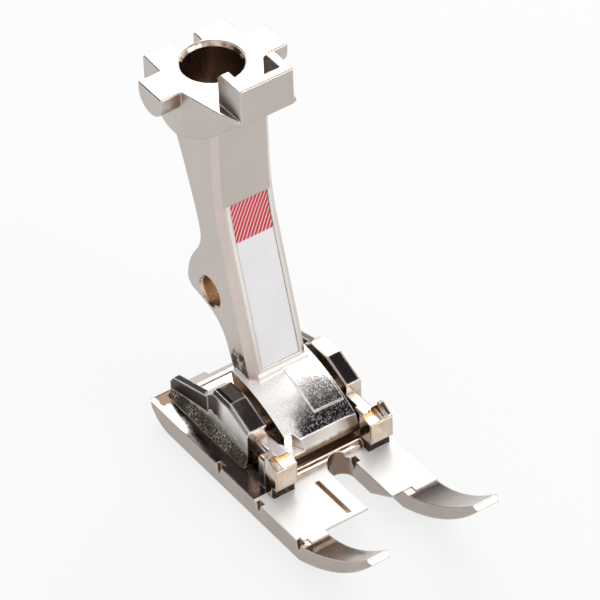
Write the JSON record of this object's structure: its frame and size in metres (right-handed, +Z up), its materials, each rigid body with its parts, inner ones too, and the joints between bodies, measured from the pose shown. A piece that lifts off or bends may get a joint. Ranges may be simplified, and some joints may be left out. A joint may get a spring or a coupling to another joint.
{
  "type": "sewing machine presser foot",
  "caption": "Hinged presser foot for a sewing machine: forked sole with upturned toes and an open needle gap, pivoted under a slim curved shank with a socketed, hooked head.",
  "frame": {"origin": "where the needle's axis crosses the plane of the sole's underside", "axes": "+X to the operator's right, +Y to the back of the machine, +Z up the needle and out of the head's socket"},
  "size_m": [0.0158, 0.0399, 0.041],
  "materials": {
    "plated_sole": "bright nickel plate over a fine casting",
    "pin_steel": "ground and plated",
    "plated_shank": "satin nickel plate",
    "label_film": "printed film, satin"
  },
  "bodies": {
    "sole_unit": {"sole": "plated_sole", "hinge_pin": "pin_steel"},
    "shank_unit": {"shank": "plated_shank", "label": "label_film"}
  },
  "joints": [
    {"name": "sole_hinge", "type": "hinge", "parent": "sole_unit", "child": "shank_unit", "pos_m": [0, 0.007, 0.0043], "axis": [1, 0, 0], "range_deg": [-14, 9]}
  ]
}
